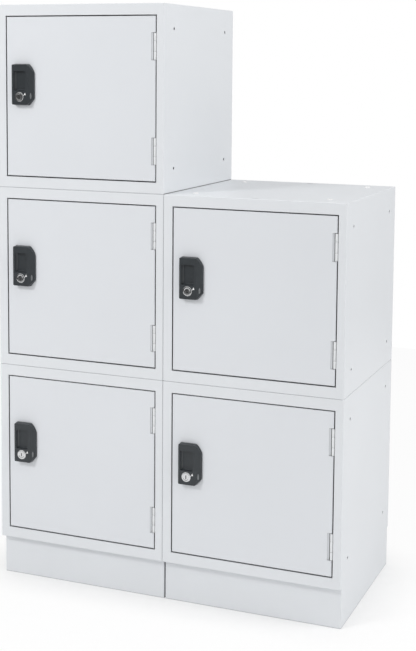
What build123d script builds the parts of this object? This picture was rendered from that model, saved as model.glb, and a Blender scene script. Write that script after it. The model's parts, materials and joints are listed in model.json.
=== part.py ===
from build123d import *
import os

# Bank of five cube lockers: a column of three beside a column of two, each column on a plinth.
# Millimetres. X to the right, Y from the front to the back, Z up from the floor.
# Origin: centre of the footprint of the whole bank, on the floor.

# Locker case, folded from sheet steel
case_w = 400.0
case_h = 400.0
case_d = 400.0
sheet = 1.2
bend_cut = 1.2
stile_left = 20.5
stile_right = 17.0
rail = 24.0
frame_lip = 17.0
rear_flange = 12.0

# Holes in the case
hole_inset = 52.0
hole_r = 3.3
holes_a_side = 2
slot_l = 15.0
slot_w = 6.0
slot_inset = 11.0

# Back panel
panel_play = 0.3

# Door, a folded pan
door_gap = 2.5
door_depth = 16.0
door_lip = 12.0
door_edge_cut = 1.0

# Hinges: three knuckles each
knuckle_r = 3.2
hinge_pin_r = 1.5
axis_in = 3.7
axis_depth = 2.2
hinge_l = 56.0
hinge_height = 90.0
knuckle_share = 0.4
leaf_t = 1.5
notch_w = 9.5
notch_gap = 1.0
door_leaf_foot = 8.0

# Lock plate with its finger recess
lock_x = 60.5
plate_to_left = 19.5
plate_to_right = 31.5
plate_below = 18.0
plate_above = 71.0
plate_proud = 12.0
plate_draft = 4.0
plate_r = 3.5
slope_w = 13.0
slope_h = 19.0
slope_r = 38.0
corner_cut_w = 12.0
corner_cut_h = 14.0
facet_w = 11.0
facet_depth = 7.5
recess_left = 5.0
recess_right = 17.0
recess_top = 15.0
recess_over_lock = 13.0
recess_depth = 7.0
recess_corner = 2.0

# Cam lock
ring_r = 10.5
ring_t = 1.6
barrel_r = 9.0
plug_r = 6.0
key_w = 1.8
key_h = 8.0
key_depth = 12.0
tail_w = 7.0
cam_t = 2.5
cam_reach = 50.0
cam_boss_r = 10.0
cam_w = 16.0
cam_screw_r = 6.0
cam_screw_t = 2.2
cam_shank_r = 2.0
cam_shank_l = 9.0
lock_nut_af = 24.0
lock_nut_t = 4.0

# Screws that hold the lock plate from inside the door
plate_screw_r = 1.8
plate_screw_head_r = 3.8
plate_screw_head_t = 2.2
plate_screw_bite = 8.0
upper_screw_x = 8.0
upper_screw_drop = 7.5
lower_screw_x = 19.0
lower_screw_drop = 6.0

# Bolts and nuts that join the lockers and plinths, and plugs in the open top holes
bolt_r = 2.95
bolt_af = 10.0
bolt_head_t = 4.0
bolt_past_nut = 1.5
nut_t = 5.0
plug_cap_r = 6.0
plug_cap_t = 1.6
plug_stem_r = 3.2
plug_stem_l = 6.0

# Plinths
plinth_h = 88.0
plinth_setback = 15.0
plinth_side_inset = 1.5
plinth_sheet = 1.5
plinth_lip = 18.0

# Flat sides of small round pieces, so that the repeated ones stay light
fine_sides = 16
small_sides = 8
hidden_sides = 6

# Clearances
run_fit = 0.05
swing_gap = 0.3
cut_over = 1.0

# Sizes worked out from those above
open_left = stile_left
open_right = case_w - stile_right
open_low = rail
open_high = case_h - rail
open_mid = ((open_left + open_right) / 2, (open_low + open_high) / 2)
open_w = open_right - open_left
open_h = open_high - open_low
door_left = open_left + door_gap
door_right = open_right - door_gap
door_w = door_right - door_left
door_h = open_h - 2 * door_gap
axis_x = open_right - axis_in
knuckle_l = knuckle_share * hinge_l
hinge_heights = (hinge_height, case_h - hinge_height)
web_start = axis_depth + knuckle_r + 2 * swing_gap
leaf_end = door_depth - sheet
lock_z = case_h / 2
plate_left = lock_x - plate_to_left
plate_right = lock_x + plate_to_right
plate_low = lock_z - plate_below
plate_high = lock_z + plate_above
cam_front = max(frame_lip, door_depth) + 2 * swing_gap
barrel_end = cam_front - swing_gap
tail_end = cam_front + cam_t + swing_gap / 2
upper_screw = (lock_x + upper_screw_x, plate_high - upper_screw_drop)
lower_screw = (lock_x + lower_screw_x, lock_z - lower_screw_drop)
hole_pitch_x = case_w - 2 * hole_inset
hole_pitch_y = case_d - 2 * hole_inset
hole_pitch_z = case_h - 2 * hole_inset
front_y = -(case_d - plate_proud - ring_t) / 2

# Lockers of each column, from the bottom up
columns = {"left": ("bottom", "middle", "top"), "right": ("bottom", "top")}
bank_left = -len(columns) * case_w / 2


def facing(depth):
    """Plane that faces the front, this far behind the front of the case."""
    return Plane.XZ.offset(-depth)


def make_case(free_sides):
    """Wrapper, front frame and rear flange in one; holes in free sides are round, the rest hold bolts."""
    with BuildPart() as case:
        with BuildSketch(facing(0)):
            with Locations((case_w / 2, case_h / 2)):
                Rectangle(case_w, case_h)
        extrude(amount=-case_d)
        front = case.faces().sort_by(Axis.Y)[0]
        chamfer(case.edges().filter_by(Axis.Y) + front.edges(), bend_cut)
        open_back = case.faces().sort_by(Axis.Y)[-1]
        offset(amount=-sheet, openings=open_back, kind=Kind.INTERSECTION)
        # door opening, with a lip folded back round it
        with BuildSketch(facing(0)):
            with Locations(open_mid):
                Rectangle(open_w + 2 * sheet, open_h + 2 * sheet)
        extrude(amount=-frame_lip)
        with BuildSketch(facing(0)):
            with Locations(open_mid):
                Rectangle(open_w, open_h)
        extrude(amount=-frame_lip - cut_over, mode=Mode.SUBTRACT)
        # flange that the back panel rests against
        with BuildSketch(facing(case_d - sheet)):
            with Locations((case_w / 2, case_h / 2)):
                Rectangle(case_w - 2 * sheet, case_h - 2 * sheet)
                Rectangle(case_w - 2 * rear_flange, case_h - 2 * rear_flange, mode=Mode.SUBTRACT)
        extrude(amount=-sheet)
        # slots near the front and rear edges of the top
        with BuildSketch(Plane.XY.offset(case_h)) as slots:
            with Locations((case_w / 2, case_d / 2)):
                with GridLocations(0, case_d - 2 * slot_inset, 1, 2):
                    Rectangle(slot_l, slot_w)
            chamfer(slots.vertices(), slot_w / 4)
        extrude(amount=-sheet - cut_over, mode=Mode.SUBTRACT)
        # bolt holes in the top, the floor and both sides
        for height in (0, case_h):
            with BuildSketch(Plane.XY.offset(height)):
                with Locations((case_w / 2, case_d / 2)):
                    with GridLocations(hole_pitch_x, hole_pitch_y, holes_a_side, holes_a_side):
                        RegularPolygon(hole_r, hidden_sides, major_radius=False)
            extrude(amount=sheet + cut_over, both=True, mode=Mode.SUBTRACT)
        for side in (0, case_w):
            with BuildSketch(Plane.YZ.offset(side)):
                with Locations((case_d / 2, case_h / 2)):
                    with GridLocations(hole_pitch_y, hole_pitch_z, holes_a_side, holes_a_side):
                        if side in free_sides:
                            Circle(hole_r)
                        else:
                            RegularPolygon(hole_r, hidden_sides, major_radius=False)
            extrude(amount=sheet + cut_over, both=True, mode=Mode.SUBTRACT)
    return case.part


def make_back_panel():
    """Flat sheet inside the rear flange."""
    with BuildPart() as panel:
        with BuildSketch(facing(case_d - 2 * sheet)):
            with Locations((case_w / 2, case_h / 2)):
                Rectangle(
                    case_w - 2 * (sheet + panel_play),
                    case_h - 2 * (sheet + panel_play),
                )
        extrude(amount=-sheet)
    return panel.part


def make_door():
    """Pan with folded edges and rear lips, notched where the knuckles sit."""
    with BuildPart() as door:
        with BuildSketch(facing(0)):
            with Locations(open_mid):
                Rectangle(door_w, door_h)
        extrude(amount=-door_depth)
        chamfer(door.faces().sort_by(Axis.Y)[0].edges(), door_edge_cut)
        open_back = door.faces().sort_by(Axis.Y)[-1]
        offset(amount=-sheet, openings=open_back, kind=Kind.INTERSECTION)
        with BuildSketch(facing(door_depth - sheet)):
            with Locations(open_mid):
                Rectangle(door_w, door_h)
                Rectangle(door_w - 2 * door_lip, door_h - 2 * door_lip, mode=Mode.SUBTRACT)
        extrude(amount=-sheet)
        # knuckle notches, open to the front and to the right
        with BuildSketch(facing(-cut_over)):
            for height in hinge_heights:
                with Locations((door_right - notch_w, height)):
                    Rectangle(
                        2 * notch_w,
                        hinge_l + 2 * notch_gap,
                        align=(Align.MIN, Align.CENTER),
                    )
        extrude(amount=-cut_over - leaf_end, mode=Mode.SUBTRACT)
        # holes for the lock barrel and the plate's screws
        with BuildSketch(facing(0)):
            with Locations((lock_x, lock_z)):
                RegularPolygon(barrel_r + swing_gap, small_sides)
            with Locations(upper_screw, lower_screw):
                RegularPolygon(plate_screw_r + swing_gap, hidden_sides)
        extrude(amount=-sheet - cut_over, mode=Mode.SUBTRACT)
    return door.part


def make_frame_leaves():
    """Middle knuckle and leaf of each hinge, fixed to the lip beside the opening."""
    with BuildPart() as leaves:
        for height in hinge_heights:
            with BuildSketch(Plane.XY.offset(height - knuckle_l / 2)):
                with Locations((axis_x, axis_depth)):
                    RegularPolygon(knuckle_r, small_sides)
                with Locations((open_right, axis_depth)):
                    Rectangle(leaf_t, leaf_end - axis_depth, align=(Align.MAX, Align.MIN))
            extrude(amount=knuckle_l)
            with BuildSketch(Plane.XY.offset(height - hinge_l / 2)):
                with Locations((open_right, web_start)):
                    Rectangle(leaf_t, leaf_end - web_start, align=(Align.MAX, Align.MIN))
            extrude(amount=hinge_l)
            with BuildSketch(Plane.XY.offset(height - hinge_l / 2)):
                with Locations((axis_x, axis_depth)):
                    RegularPolygon(hinge_pin_r + run_fit, hidden_sides, major_radius=False)
            extrude(amount=hinge_l, mode=Mode.SUBTRACT)
    return leaves.part


def make_door_leaves():
    """Outer knuckles of each hinge, on a leaf that is fixed to the door's rear lip."""
    leaf_x = axis_x - knuckle_r
    end_l = (hinge_l - knuckle_l) / 2 - swing_gap
    with BuildPart() as leaves:
        for height in hinge_heights:
            for start in (height - hinge_l / 2, height + hinge_l / 2 - end_l):
                with BuildSketch(Plane.XY.offset(start)):
                    with Locations((axis_x, axis_depth)):
                        RegularPolygon(knuckle_r, small_sides)
                    with Locations((leaf_x, axis_depth)):
                        Rectangle(leaf_t, leaf_end - axis_depth, align=(Align.MIN, Align.MIN))
                extrude(amount=end_l)
            with BuildSketch(Plane.XY.offset(height - hinge_l / 2)):
                with Locations((leaf_x, web_start)):
                    Rectangle(leaf_t, leaf_end - web_start, align=(Align.MIN, Align.MIN))
                with Locations((leaf_x + leaf_t, leaf_end)):
                    Rectangle(door_leaf_foot, leaf_t, align=(Align.MAX, Align.MAX))
            extrude(amount=hinge_l)
            with BuildSketch(Plane.XY.offset(height - hinge_l / 2)):
                with Locations((axis_x, axis_depth)):
                    RegularPolygon(hinge_pin_r + run_fit, hidden_sides, major_radius=False)
            extrude(amount=hinge_l, mode=Mode.SUBTRACT)
    return leaves.part


def make_hinge_pins():
    with BuildPart() as pins:
        for height in hinge_heights:
            with BuildSketch(Plane.XY.offset(height - hinge_l / 2)):
                with Locations((axis_x, axis_depth)):
                    Circle(hinge_pin_r)
            extrude(amount=hinge_l)
    return pins.part


def make_lock_plate():
    """Moulded plate: sloped upper right corner, cut lower right one, facet and finger recess."""
    with BuildPart() as plate:
        with BuildSketch(facing(0)) as outline:
            with BuildLine():
                Polyline(
                    (plate_right - slope_w, plate_high),
                    (plate_left, plate_high),
                    (plate_left, plate_low),
                    (plate_right - corner_cut_w, plate_low),
                    (plate_right, plate_low + corner_cut_h),
                    (plate_right, plate_high - slope_h),
                )
                RadiusArc(
                    (plate_right, plate_high - slope_h),
                    (plate_right - slope_w, plate_high),
                    -slope_r,
                )
            make_face()
            fillet(outline.vertices().group_by(Axis.X)[0], plate_r)
        extrude(amount=plate_proud, taper=plate_draft)
        # facet down the right side
        with BuildSketch(Plane.XY.offset(plate_low - cut_over)):
            with BuildLine():
                Polyline(
                    (plate_right - facet_w, -plate_proud - cut_over),
                    (plate_right - facet_w, -plate_proud),
                    (plate_right, -plate_proud + facet_depth),
                    (plate_right + cut_over, -plate_proud + facet_depth),
                    (plate_right + cut_over, -plate_proud - cut_over),
                    close=True,
                )
            make_face()
        extrude(amount=plate_high - plate_low + 2 * cut_over, mode=Mode.SUBTRACT)
        # finger recess over the lock
        with BuildSketch(facing(-plate_proud)) as recess:
            with Locations((plate_left + recess_left, lock_z + recess_over_lock)):
                Rectangle(
                    plate_right - plate_left - recess_left - recess_right,
                    plate_high - recess_top - lock_z - recess_over_lock,
                    align=(Align.MIN, Align.MIN),
                )
            chamfer(recess.vertices(), recess_corner)
        extrude(amount=-recess_depth, mode=Mode.SUBTRACT)
        # bore for the lock barrel and blind holes for the screws
        with BuildSketch(facing(0)):
            with Locations((lock_x, lock_z)):
                RegularPolygon(barrel_r + run_fit, small_sides)
        extrude(amount=plate_proud + cut_over, mode=Mode.SUBTRACT)
        with BuildSketch(facing(0)):
            with Locations(upper_screw, lower_screw):
                RegularPolygon(plate_screw_r + run_fit, hidden_sides)
        extrude(amount=plate_screw_bite + run_fit, mode=Mode.SUBTRACT)
    return plate.part


def make_lock_barrel():
    """Ring on the plate and sleeve through the door, bored for the plug."""
    with BuildPart() as barrel:
        with BuildSketch(facing(-plate_proud)):
            with Locations((lock_x, lock_z)):
                RegularPolygon(ring_r, fine_sides)
        extrude(amount=ring_t)
        chamfer(barrel.faces().sort_by(Axis.Y)[0].edges(), ring_t / 3)
        with BuildSketch(facing(-plate_proud)):
            with Locations((lock_x, lock_z)):
                RegularPolygon(barrel_r, small_sides)
        extrude(amount=-plate_proud - barrel_end)
        with BuildSketch(facing(-plate_proud - ring_t)):
            with Locations((lock_x, lock_z)):
                RegularPolygon(plug_r + run_fit, fine_sides, major_radius=False)
        extrude(amount=-plate_proud - ring_t - barrel_end, mode=Mode.SUBTRACT)
    return barrel.part


def make_lock_fixings():
    """Nut on the barrel and the two screws of the plate, all inside the door."""
    with BuildPart() as fixings:
        with BuildSketch(facing(sheet)):
            with Locations((lock_x, lock_z)):
                RegularPolygon(lock_nut_af / 2, hidden_sides, major_radius=False)
                RegularPolygon(barrel_r + run_fit, small_sides, mode=Mode.SUBTRACT)
        extrude(amount=-lock_nut_t)
        with BuildSketch(facing(sheet)):
            with Locations(upper_screw, lower_screw):
                RegularPolygon(plate_screw_head_r, small_sides)
        extrude(amount=-plate_screw_head_t)
        with BuildSketch(facing(sheet)):
            with Locations(upper_screw, lower_screw):
                RegularPolygon(plate_screw_r, hidden_sides)
        extrude(amount=sheet + plate_screw_bite)
    return fixings.part


def make_lock_plug():
    """Core that the key turns, with the square tail that carries the cam."""
    with BuildPart() as plug:
        with BuildSketch(facing(-plate_proud - ring_t)):
            with Locations((lock_x, lock_z)):
                Circle(plug_r)
        extrude(amount=-plate_proud - ring_t - barrel_end)
        with BuildSketch(facing(barrel_end)):
            with Locations((lock_x, lock_z)):
                Rectangle(tail_w, tail_w)
        extrude(amount=barrel_end - tail_end)
        with BuildSketch(facing(-plate_proud - ring_t)):
            with Locations((lock_x, lock_z)):
                Rectangle(key_w, key_h)
        extrude(amount=-key_depth, mode=Mode.SUBTRACT)
        with BuildSketch(facing(tail_end)):
            with Locations((lock_x, lock_z)):
                RegularPolygon(cam_shank_r + run_fit, hidden_sides)
        extrude(amount=cam_shank_l + run_fit, mode=Mode.SUBTRACT)
    return plug.part


def make_lock_cam():
    """Tongue that hangs down when open and turns behind the left stile, with its screw."""
    with BuildPart() as cam:
        with BuildSketch(facing(cam_front)) as tongue:
            with Locations((lock_x, lock_z)):
                RegularPolygon(cam_boss_r, small_sides)
            with Locations((lock_x, lock_z)):
                Rectangle(cam_w, cam_reach, align=(Align.CENTER, Align.MAX))
            chamfer(tongue.vertices().group_by(Axis.Y)[0], cam_w / 4)
            with Locations((lock_x, lock_z)):
                Rectangle(tail_w + 2 * run_fit, tail_w + 2 * run_fit, mode=Mode.SUBTRACT)
        extrude(amount=-cam_t)
        with BuildSketch(facing(tail_end)):
            with Locations((lock_x, lock_z)):
                RegularPolygon(cam_screw_r, small_sides)
        extrude(amount=-cam_screw_t)
        with BuildSketch(facing(tail_end)):
            with Locations((lock_x, lock_z)):
                RegularPolygon(cam_shank_r, hidden_sides)
        extrude(amount=cam_shank_l)
    return cam.part


def make_plinth():
    """Open-bottomed sheet box with a lip turned in along the floor."""
    width = case_w - 2 * plinth_side_inset
    depth = case_d - plinth_setback
    with BuildPart() as plinth:
        with BuildSketch(Plane.XY):
            with Locations((plinth_side_inset, plinth_setback)):
                Rectangle(width, depth, align=(Align.MIN, Align.MIN))
        extrude(amount=plinth_h)
        chamfer(plinth.edges().filter_by(Axis.Z), bend_cut)
        open_floor = plinth.faces().sort_by(Axis.Z)[0]
        offset(amount=-plinth_sheet, openings=open_floor, kind=Kind.INTERSECTION)
        with BuildSketch(Plane.XY):
            with Locations((case_w / 2, plinth_setback + depth / 2)):
                Rectangle(width - 2 * plinth_sheet, depth - 2 * plinth_sheet)
                Rectangle(width - 2 * plinth_lip, depth - 2 * plinth_lip, mode=Mode.SUBTRACT)
        extrude(amount=plinth_sheet)
        with BuildSketch(Plane.XY.offset(plinth_h)):
            with Locations((case_w / 2, case_d / 2)):
                with GridLocations(hole_pitch_x, hole_pitch_y, holes_a_side, holes_a_side):
                    RegularPolygon(hole_r, hidden_sides, major_radius=False)
        extrude(amount=-plinth_sheet - cut_over, mode=Mode.SUBTRACT)
    return plinth.part


def column_centre(place, height):
    """Middle of a column's footprint, counted from the left, at a height over the floor."""
    return (bank_left + (place + 0.5) * case_w, front_y + case_d / 2, height)


def joint_planes():
    """Planes between pieces that are bolted together, with the sheet on the far side."""
    joints = []
    for place, rows in enumerate(columns.values()):
        under = plinth_sheet
        for level in range(len(rows)):
            plane = Plane(column_centre(place, plinth_h + level * case_h))
            joints.append((plane, (hole_pitch_x, hole_pitch_y), under))
            under = sheet
    for level in range(min(len(rows) for rows in columns.values())):
        seam = (bank_left + case_w, front_y + case_d / 2, plinth_h + (level + 0.5) * case_h)
        plane = Plane(seam, x_dir=(0, 1, 0), z_dir=(1, 0, 0))
        joints.append((plane, (hole_pitch_y, hole_pitch_z), sheet))
    return joints


def make_bolts():
    """Hexagon bolts, heads on the upper or right sheet of each joint."""
    with BuildPart() as bolts:
        for plane, pitches, under in joint_planes():
            with BuildSketch(plane.offset(sheet)):
                with GridLocations(*pitches, holes_a_side, holes_a_side):
                    RegularPolygon(bolt_af / 2, hidden_sides, major_radius=False)
            extrude(amount=bolt_head_t)
            with BuildSketch(plane.offset(sheet)):
                with GridLocations(*pitches, holes_a_side, holes_a_side):
                    RegularPolygon(bolt_r, hidden_sides)
            extrude(amount=-sheet - under - nut_t - bolt_past_nut)
    return bolts.part


def make_nuts():
    """Hexagon nuts on the far sheet of each joint."""
    with BuildPart() as nuts:
        for plane, pitches, under in joint_planes():
            with BuildSketch(plane.offset(-under)):
                with GridLocations(*pitches, holes_a_side, holes_a_side):
                    RegularPolygon(bolt_af / 2, hidden_sides, major_radius=False)
                    RegularPolygon(bolt_r + run_fit, hidden_sides, mode=Mode.SUBTRACT)
            extrude(amount=-nut_t)
    return nuts.part


def make_top_plugs():
    """Press-in plugs in the bolt holes of the two column tops."""
    with BuildPart() as plugs:
        for place, rows in enumerate(columns.values()):
            top = Plane(column_centre(place, plinth_h + len(rows) * case_h))
            with BuildSketch(top):
                with GridLocations(hole_pitch_x, hole_pitch_y, holes_a_side, holes_a_side):
                    RegularPolygon(plug_cap_r, small_sides)
            extrude(amount=plug_cap_t)
            with BuildSketch(top):
                with GridLocations(hole_pitch_x, hole_pitch_y, holes_a_side, holes_a_side):
                    RegularPolygon(plug_stem_r, hidden_sides)
            extrude(amount=-plug_stem_l)
    return plugs.part


def save(piece, name):
    piece.label = name
    export_step(piece, f"parts/{name}.step")


os.makedirs("parts", exist_ok=True)

# Pieces that are alike in every locker, in the locker's own corner frame
alike_pieces = {
    "back_panel": make_back_panel(),
    "door": make_door(),
    "hinge_frame_leaves": make_frame_leaves(),
    "hinge_door_leaves": make_door_leaves(),
    "hinge_pins": make_hinge_pins(),
    "lock_plate": make_lock_plate(),
    "lock_barrel": make_lock_barrel(),
    "lock_fixings": make_lock_fixings(),
    "lock_plug": make_lock_plug(),
    "lock_cam": make_lock_cam(),
}
plinth = make_plinth()

for place, (column, rows) in enumerate(columns.items()):
    left = bank_left + place * case_w
    save(plinth.moved(Location((left, front_y, 0))), f"{column}_plinth")
    for level, row in enumerate(rows):
        # sides with no neighbour
        free_sides = []
        if place == 0:
            free_sides.append(0)
        if place == len(columns) - 1 or level >= len(columns["right"]):
            free_sides.append(case_w)
        corner = Location((left, front_y, plinth_h + level * case_h))
        save(make_case(free_sides).moved(corner), f"{column}_{row}_case")
        for piece_name, piece in alike_pieces.items():
            save(piece.moved(corner), f"{column}_{row}_{piece_name}")

save(make_bolts(), "joining_bolts")
save(make_nuts(), "joining_nuts")
save(make_top_plugs(), "top_plugs")
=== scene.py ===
"""Looks for the bank of cube lockers: finishes, rounded trim, floor, light and camera. Metres."""
import json
import math

import bpy
from mathutils import Matrix, Vector


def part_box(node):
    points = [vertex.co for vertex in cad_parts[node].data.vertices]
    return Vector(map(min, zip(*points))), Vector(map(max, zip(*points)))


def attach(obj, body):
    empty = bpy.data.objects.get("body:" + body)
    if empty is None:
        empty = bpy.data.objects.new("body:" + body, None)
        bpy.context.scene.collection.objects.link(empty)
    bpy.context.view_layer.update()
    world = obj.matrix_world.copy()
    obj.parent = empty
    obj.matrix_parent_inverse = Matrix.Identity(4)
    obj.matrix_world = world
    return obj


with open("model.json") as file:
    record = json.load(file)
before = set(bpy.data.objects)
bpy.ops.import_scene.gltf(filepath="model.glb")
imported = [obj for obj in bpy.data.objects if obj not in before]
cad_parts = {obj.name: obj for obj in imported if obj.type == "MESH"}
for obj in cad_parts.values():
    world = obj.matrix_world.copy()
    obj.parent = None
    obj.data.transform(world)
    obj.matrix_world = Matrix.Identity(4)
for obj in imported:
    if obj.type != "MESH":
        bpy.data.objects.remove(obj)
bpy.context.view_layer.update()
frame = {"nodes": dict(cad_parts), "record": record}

MM = 0.001
LOCKERS = ("left_top", "left_middle", "left_bottom", "right_top", "right_bottom")
TURN = 2 * math.pi

# Camera, solved from edge points of the photograph and placed from the front of the bank
PHOTO_HEIGHT_PX = 651
FOCAL_PX = 1277.2
OPTICAL_ROW_PX = 195.0
CAMERA_YAW = 0.3824
CAMERA_PITCH = 0.1003
CAMERA_ROLL = 0.0077
CAMERA_FROM_FRONT = Vector((1.0852, -2.4475, 1.1570))
SENSOR_MM = 36.0

# Light
WORLD_LIGHT = 0.66
ZENITH_SHARE = 0.98
SIDE_WATTS = 35.0
SIDE_SIZE = 1.4
SIDE_PLACE = (2.5, -0.1, 2.4)
SIDE_TARGET = (0.3, -0.1, 1.0)
KEY_WATTS = 39.0
KEY_SIZE = 0.7
KEY_PLACE = (-1.6, -2.5, 2.5)
KEY_TARGET = (0.05, -0.2, 0.6)

# What glossy faces mirror: strength far off, then the heights and the sideways reach where it grows to white
MIRRORED_LOW = 0.10
MIRRORED_HEIGHTS = (0.05, 0.6)
MIRRORED_SIDE = (0.72, 0.85)

# Floor, and how much of its tone is plain white to the camera
FLOOR_HALF = 2.5
FLOOR_LOW = (0.88, 0.88, 0.88)
FLOOR_HIGH = (0.90, 0.90, 0.90)
FLOOR_WHITE_SHARE = 0.90
CONTACT_WHITE_SHARE = 0.30
CONTACT_REACH = 0.12
CONTACT_OPENNESS = 0.5

# Painted shade in the joints between sheets and in inner corners, where the AO node finds the paint closed
# in
JOINT_REACH = 4.0 * MM
JOINT_SHADE = 0.24
JOINT_DARK_OPENNESS = 0.28
JOINT_UNSHADED_OPENNESS = 0.82

# Grain of the finishes, in noise cells a metre, and the height of the paint's orange peel
DRIFT_CELLS = 5.0
PEEL_CELLS = 620.0
PEEL_HEIGHT = 0.06 * MM
BLOTCH_CELLS = 60.0
GRAIN_CELLS = 1800.0
MARK_CELLS = 900.0
FLOOR_CELLS = 40.0

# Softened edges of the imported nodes
SHEET_EDGE = 0.5 * MM
MOULDED_EDGE = 0.3 * MM
SOFT_ANGLE = math.radians(32)

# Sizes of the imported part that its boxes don't give
HINGE_L = 56.0 * MM
MIDDLE_SHARE = 0.4
KNUCKLE_GAP = 0.3 * MM
NOTCH_W = 9.5 * MM
NOTCH_GAP = 1.0 * MM
RING_T = 1.6 * MM
RING_PLAY = 0.05 * MM
RECESS_LEFT = 5.0 * MM
RECESS_RIGHT = 17.0 * MM
RECESS_OVER_LOCK = 13.0 * MM
RECESS_TOP = 15.0 * MM
RECESS_DEPTH = 7.0 * MM
FACET_W = 11.0 * MM
FACET_DEPTH = 7.5 * MM
PLUG_CAP_R = 6.0 * MM
HOLE_HALF = 148.0 * MM

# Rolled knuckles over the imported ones
KNUCKLE_R = 3.25 * MM
KNUCKLE_BORE_R = 1.6 * MM
KNUCKLE_EASE = 0.4 * MM

# Rolled returns in the hinge notches, which start inside the door's sheet
RETURN_START = 1.0 * MM
RETURN_DEPTH = 4.5 * MM

# Lock rings and plug caps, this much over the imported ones
CAP_OVER = 0.1 * MM
RING_LIP = 0.3 * MM
RING_LIP_DEPTH = 0.1 * MM
RING_FLAT_IN = 1.5 * MM
RING_SLOPE_IN = 0.5 * MM
RING_SLOPE_DEPTH = 0.4 * MM
RING_RIM_SHARE = 0.7
CAP_CROWN = 0.5 * MM
CAP_CROWN_IN = 2.0 * MM
CAP_SHOULDER = 0.6 * MM
CAP_RIM_SHARE = 0.45
CAP_POLE_R = 0.01 * MM

# Coves, beads and index marks of the lock plates, the marks' outlines in millimetres
COVE_W = 4.0 * MM
BEAD_IN = 5.5 * MM
BEAD_UP = 2.0 * MM
BEAD_R = 2.2 * MM
BEAD_HALF = 6.5 * MM
MARK_X = 13.5 * MM
MARK_Z = 6.0 * MM
MARK_OVER = 0.3 * MM
MARK_HEAD_MM = ((-2.2, -2.2), (2.6, -1.8), (0.6, 3.4))
MARK_TAIL_MM = ((-1.8, -1.6), (-4.0, -3.0), (-3.6, -3.8), (-1.0, -2.1))

# Steps in round and curved pieces
SMOOTH_STEPS = 48
COVE_STEPS = 8
BEAD_STEPS = 12


def new_material(name):
    """Empty node material with its Principled shader and output joined."""
    material = bpy.data.materials.new(name)
    material.use_nodes = True
    nodes = material.node_tree.nodes
    nodes.clear()
    shader = nodes.new("ShaderNodeBsdfPrincipled")
    output = nodes.new("ShaderNodeOutputMaterial")
    material.node_tree.links.new(shader.outputs["BSDF"], output.inputs["Surface"])
    return material, nodes, material.node_tree.links, shader


def noise(nodes, links, cells, detail):
    """Noise in object space, with so many cells a metre."""
    coordinates = nodes.new("ShaderNodeTexCoord")
    texture = nodes.new("ShaderNodeTexNoise")
    texture.inputs["Scale"].default_value = cells
    texture.inputs["Detail"].default_value = detail
    links.new(coordinates.outputs["Object"], texture.inputs["Vector"])
    return texture.outputs["Fac"]


def ramp(nodes, links, factor, low, high):
    """Colour ramp between two colours over the middle of the noise."""
    node = nodes.new("ShaderNodeValToRGB")
    for element, position, colour in zip(node.color_ramp.elements, (0.3, 0.7), (low, high)):
        element.position = position
        element.color = (*colour, 1.0)
    links.new(factor, node.inputs["Fac"])
    return node.outputs["Color"]


def spread(nodes, links, factor, low, high, start=0.0, end=1.0):
    """Value that runs from low to high while the factor runs from start to end."""
    node = nodes.new("ShaderNodeMapRange")
    node.inputs["From Min"].default_value = start
    node.inputs["From Max"].default_value = end
    node.inputs["To Min"].default_value = low
    node.inputs["To Max"].default_value = high
    links.new(factor, node.inputs["Value"])
    return node.outputs["Result"]


def calculate(nodes, links, operation, first, second):
    """Maths node on two sockets."""
    node = nodes.new("ShaderNodeMath")
    node.operation = operation
    links.new(first, node.inputs[0])
    links.new(second, node.inputs[1])
    return node.outputs[0]


def bump(nodes, links, height, distance, strength):
    """Surface normal that follows a height."""
    node = nodes.new("ShaderNodeBump")
    node.inputs["Strength"].default_value = strength
    node.inputs["Distance"].default_value = distance
    links.new(height, node.inputs["Height"])
    return node.outputs["Normal"]


def openness(nodes, reach):
    """How open a point lies to its surroundings, from 0 to 1, within a reach."""
    node = nodes.new("ShaderNodeAmbientOcclusion")
    node.inputs["Distance"].default_value = reach
    return node.outputs["AO"]


def powder_coat(name, colour, roughness):
    """Sprayed and baked coat: tone drift over the sheet, fine orange peel, and painted shade in the joints
    and inner corners.
    """
    material, nodes, links, shader = new_material(name)
    drift = noise(nodes, links, DRIFT_CELLS, 3.0)
    darker = tuple(c * 0.985 for c in colour)
    # painted shade: the base colour darkens towards JOINT_SHADE of itself where the AO node finds gaps,
    # seams and inner corners
    joint = openness(nodes, JOINT_REACH)
    unshaded = spread(nodes, links, joint, 0.0, 1.0, JOINT_DARK_OPENNESS, JOINT_UNSHADED_OPENNESS)
    joint_shade_mix = nodes.new("ShaderNodeMix")
    joint_shade_mix.data_type = "RGBA"
    joint_shade_mix.inputs["A"].default_value = (*(c * JOINT_SHADE for c in colour), 1.0)
    links.new(unshaded, joint_shade_mix.inputs["Factor"])
    links.new(ramp(nodes, links, drift, darker, colour), joint_shade_mix.inputs["B"])
    links.new(joint_shade_mix.outputs["Result"], shader.inputs["Base Color"])
    peel = noise(nodes, links, PEEL_CELLS, 1.0)
    links.new(spread(nodes, links, peel, roughness - 0.04, roughness + 0.05), shader.inputs["Roughness"])
    links.new(bump(nodes, links, peel, PEEL_HEIGHT, 0.35), shader.inputs["Normal"])
    shader.inputs["Specular IOR Level"].default_value = 0.4
    return material


def moulded_plastic(name, colour, roughness, grain):
    """Injection-moulded plastic with a fine spark-eroded grain."""
    material, nodes, links, shader = new_material(name)
    blotch = noise(nodes, links, BLOTCH_CELLS, 3.0)
    darker = tuple(c * 0.88 for c in colour)
    links.new(ramp(nodes, links, blotch, darker, colour), shader.inputs["Base Color"])
    fine = noise(nodes, links, GRAIN_CELLS, 2.0)
    links.new(spread(nodes, links, fine, roughness - 0.06, roughness + 0.08), shader.inputs["Roughness"])
    links.new(bump(nodes, links, fine, grain, 0.5), shader.inputs["Normal"])
    return material


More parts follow.
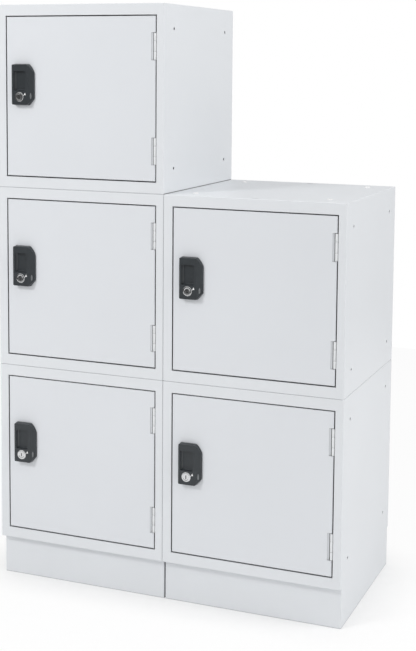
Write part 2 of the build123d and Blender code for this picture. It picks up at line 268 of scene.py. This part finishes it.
def plated_metal(name, colour, roughness):
    """Nickel or zinc plate with fine turning or rolling marks."""
    material, nodes, links, shader = new_material(name)
    marks = noise(nodes, links, MARK_CELLS, 3.0)
    darker = tuple(c * 0.8 for c in colour)
    links.new(ramp(nodes, links, marks, darker, colour), shader.inputs["Base Color"])
    links.new(spread(nodes, links, marks, roughness - 0.05, roughness + 0.1), shader.inputs["Roughness"])
    shader.inputs["Metallic"].default_value = 1.0
    return material


def make_materials():
    """Finishes by name: colour, roughness and, for plastics, the height of the grain."""
    finishes = {
        "body_paint": (powder_coat, (0.745, 0.765, 0.790), 0.42),
        "door_paint": (powder_coat, (0.730, 0.750, 0.780), 0.38),
        "hinge_steel": (powder_coat, (0.80, 0.815, 0.83), 0.35),
        "zinc_steel": (plated_metal, (0.62, 0.63, 0.64), 0.35),
        "lock_chrome": (plated_metal, (0.78, 0.79, 0.80), 0.12),
        "black_plastic": (moulded_plastic, (0.034, 0.040, 0.045), 0.42, 0.04 * MM),
        # painted light: lighter black plastic on the recess's left cove, standing in for the light band that
        # wall catches
        "rubbed_plastic": (moulded_plastic, (0.070, 0.077, 0.083), 0.34, 0.01 * MM),
        # painted highlight: glossy plastic several times lighter than the plate, for the facet beads
        "polished_plastic": (moulded_plastic, (0.170, 0.180, 0.188), 0.24, 0.01 * MM),
        "white_plastic": (moulded_plastic, (0.90, 0.90, 0.90), 0.4, 0.02 * MM),
    }
    return {name: make(name, *values) for name, (make, *values) in finishes.items()}


def paint_nodes():
    """Gives every CAD node the finish of its material slot."""
    slots = {s["node"]: s["material_slot"] for s in frame["record"]["subparts"]}
    for name, piece in frame["nodes"].items():
        piece.data.materials.clear()
        piece.data.materials.append(materials[slots[name]])


def soften_edges(names, width):
    """Rounds the sharp edges of CAD nodes, as a coat of paint or a mould does."""
    for name in names:
        bevel = frame["nodes"][name].modifiers.new("soft_edges", "BEVEL")
        bevel.width = width
        bevel.segments = 2
        bevel.limit_method = "ANGLE"
        bevel.angle_limit = SOFT_ANGLE


def add_piece(name, points, faces, body, slot, smooth=True, finish=None):
    """Mesh piece from points and faces, on its body, in its material slot and with a finish of its own."""
    mesh = bpy.data.meshes.new(name)
    mesh.from_pydata(points, [], faces)
    mesh.update()
    if smooth:
        mesh.shade_smooth()
    mesh.materials.append(materials[finish or slot])
    piece = bpy.data.objects.new(name, mesh)
    bpy.context.scene.collection.objects.link(piece)
    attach(piece, body)
    return piece


def lathe(name, centre, axis, profile, body, slot, finish=None):
    """Piece turned from (radius, height) pairs about an axis through its centre."""
    axis = Vector(axis)
    across = axis.orthogonal().normalized()
    along = axis.cross(across)
    points = []
    for step in range(SMOOTH_STEPS):
        angle = TURN * step / SMOOTH_STEPS
        ray = across * math.cos(angle) + along * math.sin(angle)
        points += [centre + ray * radius + axis * height for radius, height in profile]
    rings = len(profile)
    faces = []
    for step in range(SMOOTH_STEPS):
        here = step * rings
        there = (step + 1) % SMOOTH_STEPS * rings
        faces += [(here + i, there + i, there + i + 1, here + i + 1) for i in range(rings - 1)]
    return add_piece(name, points, faces, body, slot, finish=finish)


def quarter_curve(width, depth):
    """Quarter of an ellipse from the corner (0, 0) to (width, depth), steep at first."""
    angles = [math.pi / 2 * step / COVE_STEPS for step in range(COVE_STEPS + 1)]
    return [(width * (1 - math.cos(angle)), depth * math.sin(angle)) for angle in angles]


def strip(name, rows, body, slot, finish=None):
    """Curved sheet between two rows of points."""
    count = len(rows[0])
    faces = [(i, i + 1, count + i + 1, count + i) for i in range(count - 1)]
    return add_piece(name, rows[0] + rows[1], faces, body, slot, finish=finish)


def knuckle_profile(half):
    """Section of a rolled knuckle: bore, eased rim and outside."""
    return [
        (KNUCKLE_BORE_R, -half),
        (KNUCKLE_R - KNUCKLE_EASE, -half),
        (KNUCKLE_R, KNUCKLE_EASE - half),
        (KNUCKLE_R, half - KNUCKLE_EASE),
        (KNUCKLE_R - KNUCKLE_EASE, half),
        (KNUCKLE_BORE_R, half),
    ]


def make_knuckles(locker):
    """Smooth rolled knuckles round the two hinge pins, on the frame and on the door."""
    low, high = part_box(f"{locker}_hinge_pins")
    centre = (low + high) / 2
    middle_l = MIDDLE_SHARE * HINGE_L
    outer_l = (HINGE_L - middle_l) / 2 - KNUCKLE_GAP
    for place, base in (("lower", low.z), ("upper", high.z - HINGE_L)):
        spans = (
            ("bottom", base, outer_l, f"{locker}_door"),
            ("middle", base + (HINGE_L - middle_l) / 2, middle_l, "frame"),
            ("top", base + HINGE_L - outer_l, outer_l, f"{locker}_door"),
        )
        for row, start, length, body in spans:
            lathe(
                f"{locker}_{place}_knuckle_{row}",
                Vector((centre.x, centre.y, start + length / 2)),
                (0, 0, 1),
                knuckle_profile(length / 2),
                body,
                "hinge_steel",
            )


def lock_face(locker):
    """Middle of the front of the locker's lock barrel."""
    low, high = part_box(f"{locker}_lock_barrel")
    return Vector(((low.x + high.x) / 2, low.y, (low.z + high.z) / 2))


def make_lock_ring(locker):
    """Round turned ring over the face of the lock barrel."""
    low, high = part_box(f"{locker}_lock_barrel")
    radius = (high.x - low.x) / 2
    plug_low, plug_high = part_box(f"{locker}_lock_plug")
    bore = (plug_high.x - plug_low.x) / 2 + RING_PLAY
    profile = [
        (bore, RING_T),
        (bore, RING_LIP_DEPTH),
        (bore + RING_LIP, -CAP_OVER),
        (radius - RING_FLAT_IN, -CAP_OVER),
        (radius - RING_SLOPE_IN, RING_SLOPE_DEPTH),
        (radius + CAP_OVER, RING_T * RING_RIM_SHARE),
        (radius + CAP_OVER, RING_T),
    ]
    lathe(f"{locker}_lock_ring", lock_face(locker), (0, 1, 0), profile, f"{locker}_door", "lock_chrome")


def make_recess_coves(locker):
    """Coves from the left and lower walls of the finger recess to its floor; the left one is in a lighter
    plastic, a painted light band.
    """
    low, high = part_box(f"{locker}_lock_plate")
    left = low.x + RECESS_LEFT
    right = high.x - RECESS_RIGHT
    bottom = lock_face(locker).z + RECESS_OVER_LOCK
    top = high.z - RECESS_TOP
    curve = quarter_curve(COVE_W, RECESS_DEPTH)
    side = [[(left + across, low.y + deep, z) for across, deep in curve] for z in (bottom, top)]
    sill = [[(x, low.y + deep, bottom + across) for across, deep in curve] for x in (right, left)]
    strip(f"{locker}_recess_cove", side, f"{locker}_door", "black_plastic", "rubbed_plastic")
    strip(f"{locker}_recess_sill", sill, f"{locker}_door", "black_plastic")


def make_facet_bead(locker):
    """Swelling low on the plate's slanted right face, in a glossy plastic several times lighter than the
    plate: a painted highlight.
    """
    low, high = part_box(f"{locker}_lock_plate")
    depth = FACET_DEPTH * (1 - BEAD_IN / FACET_W)
    centre = Vector((high.x - BEAD_IN, low.y + depth, lock_face(locker).z + BEAD_UP))
    angles = [math.pi * (step / BEAD_STEPS - 0.5) for step in range(BEAD_STEPS + 1)]
    profile = [(BEAD_R * math.cos(angle), BEAD_HALF * math.sin(angle)) for angle in angles]
    name = f"{locker}_facet_bead"
    lathe(name, centre, (0, 0, 1), profile, f"{locker}_door", "black_plastic", "polished_plastic")


def make_index_mark(locker):
    """Raised pointer with a short tail, up and to the right of the lock."""
    face = lock_face(locker)
    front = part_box(f"{locker}_lock_plate")[0].y
    mark = Vector((face.x + MARK_X, front - MARK_OVER, face.z + MARK_Z))
    points = [mark + Vector((x, 0, z)) * MM for x, z in MARK_HEAD_MM + MARK_TAIL_MM]
    count = len(points)
    points += [point + Vector((0, 2 * MARK_OVER, 0)) for point in points]
    head = list(range(len(MARK_HEAD_MM)))
    tail = list(range(len(MARK_HEAD_MM), count))
    faces = [head, tail]
    for ring in (head, tail):
        for here, there in zip(ring, ring[1:] + ring[:1]):
            faces.append((here, there, there + count, here + count))
    name = f"{locker}_index_mark"
    add_piece(name, points, faces, f"{locker}_door", "white_plastic", smooth=False)


def make_notch_returns(locker):
    """Rolled return of the door's skin inside each hinge notch."""
    low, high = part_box(f"{locker}_hinge_pins")
    leaf_left = (low.x + high.x) / 2 - KNUCKLE_R
    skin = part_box(f"{locker}_case")[0].y + RETURN_START
    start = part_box(f"{locker}_door")[1].x - NOTCH_W
    curve = [(across, deep) for deep, across in quarter_curve(RETURN_DEPTH, leaf_left - start)]
    for place, base in (("lower", low.z), ("upper", high.z - HINGE_L)):
        ends = (base - NOTCH_GAP, base + HINGE_L + NOTCH_GAP)
        rows = [[(start + across, skin + deep, z) for across, deep in curve] for z in ends]
        strip(f"{locker}_{place}_notch_return", rows, f"{locker}_door", "door_paint")


def make_plug_caps():
    """Crowned round caps over the plugs in the two column tops."""
    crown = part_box("top_plugs")[1].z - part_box("left_top_case")[1].z
    profile = [
        (PLUG_CAP_R + CAP_OVER, 0),
        (PLUG_CAP_R + CAP_OVER, crown * CAP_RIM_SHARE),
        (PLUG_CAP_R - CAP_SHOULDER, crown + CAP_OVER),
        (PLUG_CAP_R - CAP_CROWN_IN, crown + CAP_CROWN),
        (CAP_POLE_R, crown + CAP_CROWN),
    ]
    for column in ("left", "right"):
        low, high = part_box(f"{column}_top_case")
        middle = (low + high) / 2
        for row, away in (("front", -1), ("rear", 1)):
            for side, across in (("left", -1), ("right", 1)):
                place = Vector((middle.x + across * HOLE_HALF, middle.y + away * HOLE_HALF, high.z))
                name = f"{column}_{row}_{side}_plug_cap"
                lathe(name, place, (0, 0, 1), profile, "frame", "white_plastic")


def make_floor():
    """Pale floor that glows nearly white to the camera; near the bank its real soft shadow shows, deepened
    by painted contact shade.
    """
    mesh = bpy.data.meshes.new("floor")
    corners = [(-1, -1, 0), (1, -1, 0), (1, 1, 0), (-1, 1, 0)]
    mesh.from_pydata([Vector(c) * FLOOR_HALF for c in corners], [], [(0, 1, 2, 3)])
    floor = bpy.data.objects.new("floor", mesh)
    bpy.context.scene.collection.objects.link(floor)
    material, nodes, links, shader = new_material("floor")
    grain = noise(nodes, links, FLOOR_CELLS, 2.0)
    links.new(ramp(nodes, links, grain, FLOOR_LOW, FLOOR_HIGH), shader.inputs["Base Color"])
    shader.inputs["Roughness"].default_value = 0.8
    shader.inputs["Specular IOR Level"].default_value = 0.1
    # to the camera most of the floor's tone is plain white glow, less of it where the AO node finds the bank
    # close: painted contact shade there, with the real shadow showing through
    white = nodes.new("ShaderNodeEmission")
    path = nodes.new("ShaderNodeLightPath")
    contact = openness(nodes, CONTACT_REACH)
    whiteness = spread(nodes, links, contact, CONTACT_WHITE_SHARE, FLOOR_WHITE_SHARE, CONTACT_OPENNESS)
    share = calculate(nodes, links, "MULTIPLY", path.outputs["Is Camera Ray"], whiteness)
    mix = nodes.new("ShaderNodeMixShader")
    links.new(share, mix.inputs["Fac"])
    links.new(shader.outputs["BSDF"], mix.inputs[1])
    links.new(white.outputs["Emission"], mix.inputs[2])
    links.new(mix.outputs["Shader"], nodes["Material Output"].inputs["Surface"])
    mesh.materials.append(material)


def mix_backgrounds(nodes, links, factor, first, second):
    """Shader that turns from the first to the second where the factor is 1."""
    node = nodes.new("ShaderNodeMixShader")
    links.new(factor, node.inputs["Fac"])
    links.new(first, node.inputs[1])
    links.new(second, node.inputs[2])
    return node.outputs["Shader"]


def make_world():
    """Studio light, a little weaker overhead; white to the camera; dark low down in reflections."""
    world = bpy.data.worlds.new("studio")
    bpy.context.scene.world = world
    world.use_nodes = True
    nodes = world.node_tree.nodes
    links = world.node_tree.links
    nodes.clear()
    coordinates = nodes.new("ShaderNodeTexCoord")
    parts = nodes.new("ShaderNodeSeparateXYZ")
    links.new(coordinates.outputs["Generated"], parts.inputs["Vector"])
    height = parts.outputs["Z"]
    path = nodes.new("ShaderNodeLightPath")
    light, mirrored, white = [nodes.new("ShaderNodeBackground") for _ in range(3)]
    for background in (light, mirrored, white):
        background.inputs["Color"].default_value = (1.0, 1.0, 1.0, 1.0)
    above = spread(nodes, links, height, WORLD_LIGHT, WORLD_LIGHT * ZENITH_SHARE)
    links.new(above, light.inputs["Strength"])
    overhead = spread(nodes, links, height, MIRRORED_LOW, 1.0, *MIRRORED_HEIGHTS)
    beside = spread(nodes, links, parts.outputs["X"], 0.0, 1.0, *MIRRORED_SIDE)
    links.new(calculate(nodes, links, "MAXIMUM", overhead, beside), mirrored.inputs["Strength"])
    lit, glossy, seen = [node.outputs["Background"] for node in (light, mirrored, white)]
    unseen = mix_backgrounds(nodes, links, path.outputs["Is Glossy Ray"], lit, glossy)
    whole = mix_backgrounds(nodes, links, path.outputs["Is Camera Ray"], unseen, seen)
    output = nodes.new("ShaderNodeOutputWorld")
    links.new(whole, output.inputs["Surface"])


def make_lamp(name, place, target, size, watts):
    """Square soft lamp that glossy faces don't mirror."""
    data = bpy.data.lights.new(name, "AREA")
    data.shape = "SQUARE"
    data.size = size
    data.energy = watts
    lamp = bpy.data.objects.new(name, data)
    bpy.context.scene.collection.objects.link(lamp)
    lamp.location = place
    lamp.visible_glossy = False
    lamp.rotation_euler = (Vector(target) - Vector(place)).to_track_quat("-Z", "Y").to_euler()


def make_camera():
    """Camera at the photograph's place, with only the shift that keeps the bank in frame from all sides."""
    data = bpy.data.cameras.new("camera")
    data.sensor_width = SENSOR_MM
    data.lens = FOCAL_PX / PHOTO_HEIGHT_PX * SENSOR_MM
    data.shift_y = (OPTICAL_ROW_PX - PHOTO_HEIGHT_PX / 2) / PHOTO_HEIGHT_PX
    camera = bpy.data.objects.new("camera", data)
    bpy.context.scene.collection.objects.link(camera)
    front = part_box("left_top_case")[0].y
    turn = (
        Matrix.Rotation(CAMERA_YAW, 4, "Z")
        @ Matrix.Rotation(math.pi / 2 - CAMERA_PITCH, 4, "X")
        @ Matrix.Rotation(CAMERA_ROLL, 4, "Z")
    )
    camera.matrix_world = Matrix.Translation(CAMERA_FROM_FRONT + Vector((0, front, 0))) @ turn
    bpy.context.scene.camera = camera


materials = make_materials()
paint_nodes()
for locker in LOCKERS:
    make_knuckles(locker)
    make_lock_ring(locker)
    make_recess_coves(locker)
    make_facet_bead(locker)
    make_index_mark(locker)
    make_notch_returns(locker)
    soften_edges([f"{locker}_case", f"{locker}_door"], SHEET_EDGE)
    soften_edges([f"{locker}_lock_plate"], MOULDED_EDGE)
soften_edges(["left_plinth", "right_plinth"], SHEET_EDGE)
make_plug_caps()
make_floor()
make_world()
make_lamp("side", SIDE_PLACE, SIDE_TARGET, SIDE_SIZE, SIDE_WATTS)
make_lamp("key", KEY_PLACE, KEY_TARGET, KEY_SIZE, KEY_WATTS)
make_camera()
bpy.context.scene.view_settings.view_transform = "Standard"
